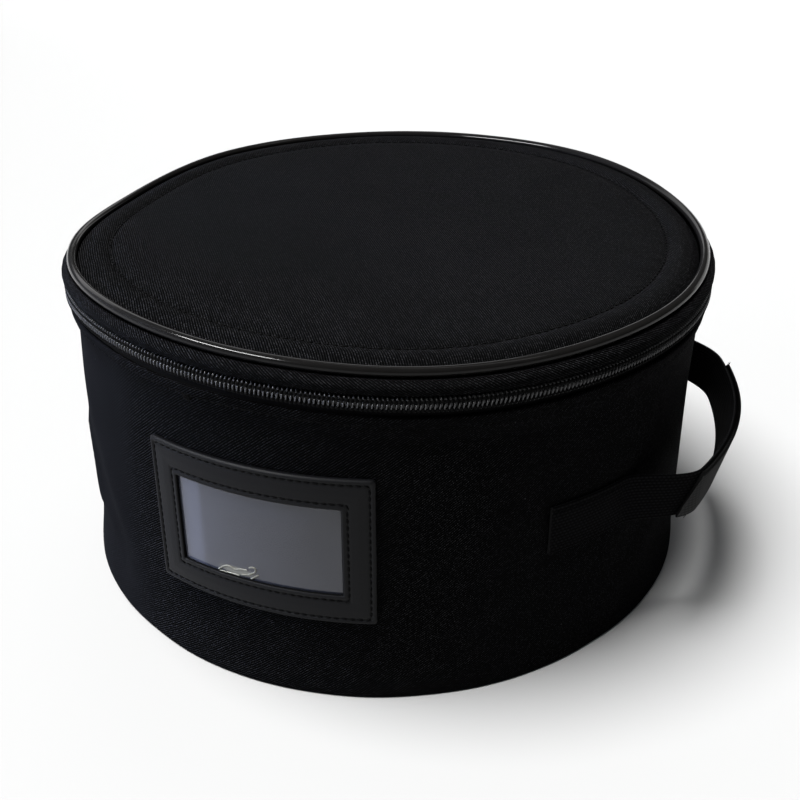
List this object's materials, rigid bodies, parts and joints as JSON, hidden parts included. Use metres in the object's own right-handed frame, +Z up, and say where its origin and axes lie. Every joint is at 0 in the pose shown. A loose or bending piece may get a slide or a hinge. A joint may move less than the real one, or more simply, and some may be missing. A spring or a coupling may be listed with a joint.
{
  "type": "cap carrier",
  "caption": "Round black fabric cap carrier: a soft-walled drum with a flat zipped lid, a clear card window in front and a webbing handle on its side.",
  "frame": {"origin": "middle of the base, on the surface that the drum stands on", "axes": "+Z up the drum's axis, -Y through the middle of the card window, +X towards the handle"},
  "size_m": [0.3516, 0.3306, 0.1775],
  "materials": {
    "twill": "black polyester twill, matt",
    "piping_pvc": "black PVC piping, glossy",
    "zip_tape": "black woven zip tape, matt",
    "zip_nylon": "black nylon coil, satin",
    "slider_metal": "black lacquered zinc, satin",
    "leatherette": "black grained leatherette, satin",
    "clear_film": "clear PVC film, glossy",
    "webbing": "black polypropylene webbing, ribbed"
  },
  "bodies": {
    "root": {"side_wall": "twill", "base_panel": "twill", "lid_panel": "twill", "lid_piping": "piping_pvc", "lid_band": "twill", "zip_tape_upper": "zip_tape", "zip_tape_lower": "zip_tape", "zip_coil_upper": "zip_nylon", "zip_coil_lower": "zip_nylon", "zip_slider": "slider_metal", "hinge_strip": "twill", "window_frame": "leatherette", "window_film": "clear_film", "handle_strap": "webbing", "handle_grip": "webbing"}
  },
  "joints": []
}
